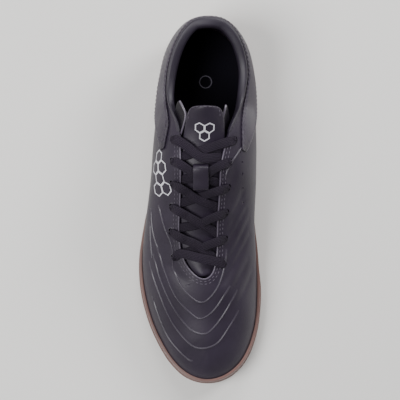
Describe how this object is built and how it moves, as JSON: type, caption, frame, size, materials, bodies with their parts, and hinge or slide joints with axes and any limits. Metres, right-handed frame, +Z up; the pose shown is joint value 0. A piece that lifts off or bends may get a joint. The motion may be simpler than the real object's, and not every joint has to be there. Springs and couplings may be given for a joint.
{
  "type": "indoor soccer shoe",
  "caption": "Right-foot indoor soccer shoe: low synthetic upper with padded collar, laced throat and tongue on a gum rubber cup sole.",
  "frame": {"origin": "under the middle of the shoe's length and width, on the floor that it stands on", "axes": "+Z up, +Y towards the heel, +X towards the medial (big-toe) side"},
  "size_m": [0.085, 0.2504, 0.084],
  "materials": {
    "gum_rubber": "satin",
    "upper_synthetic": "semi-matte synthetic leather",
    "panel_synthetic": "fine ribbed synthetic",
    "lining_fabric": "smooth knit",
    "insole_fabric": "matte knit",
    "tongue_synthetic": "semi-matte synthetic leather",
    "lace_fabric": "woven band"
  },
  "bodies": {
    "root": {"outsole": "gum_rubber", "upper": "upper_synthetic", "heel_quarter": "panel_synthetic", "collar_lining": "lining_fabric", "insole": "insole_fabric", "tongue": "tongue_synthetic", "lace_keeper": "tongue_synthetic", "lace_bar": "lace_fabric", "lace_cross_1": "lace_fabric", "lace_cross_2": "lace_fabric", "lace_cross_3": "lace_fabric", "lace_cross_4": "lace_fabric", "lace_cross_5": "lace_fabric"}
  },
  "joints": []
}
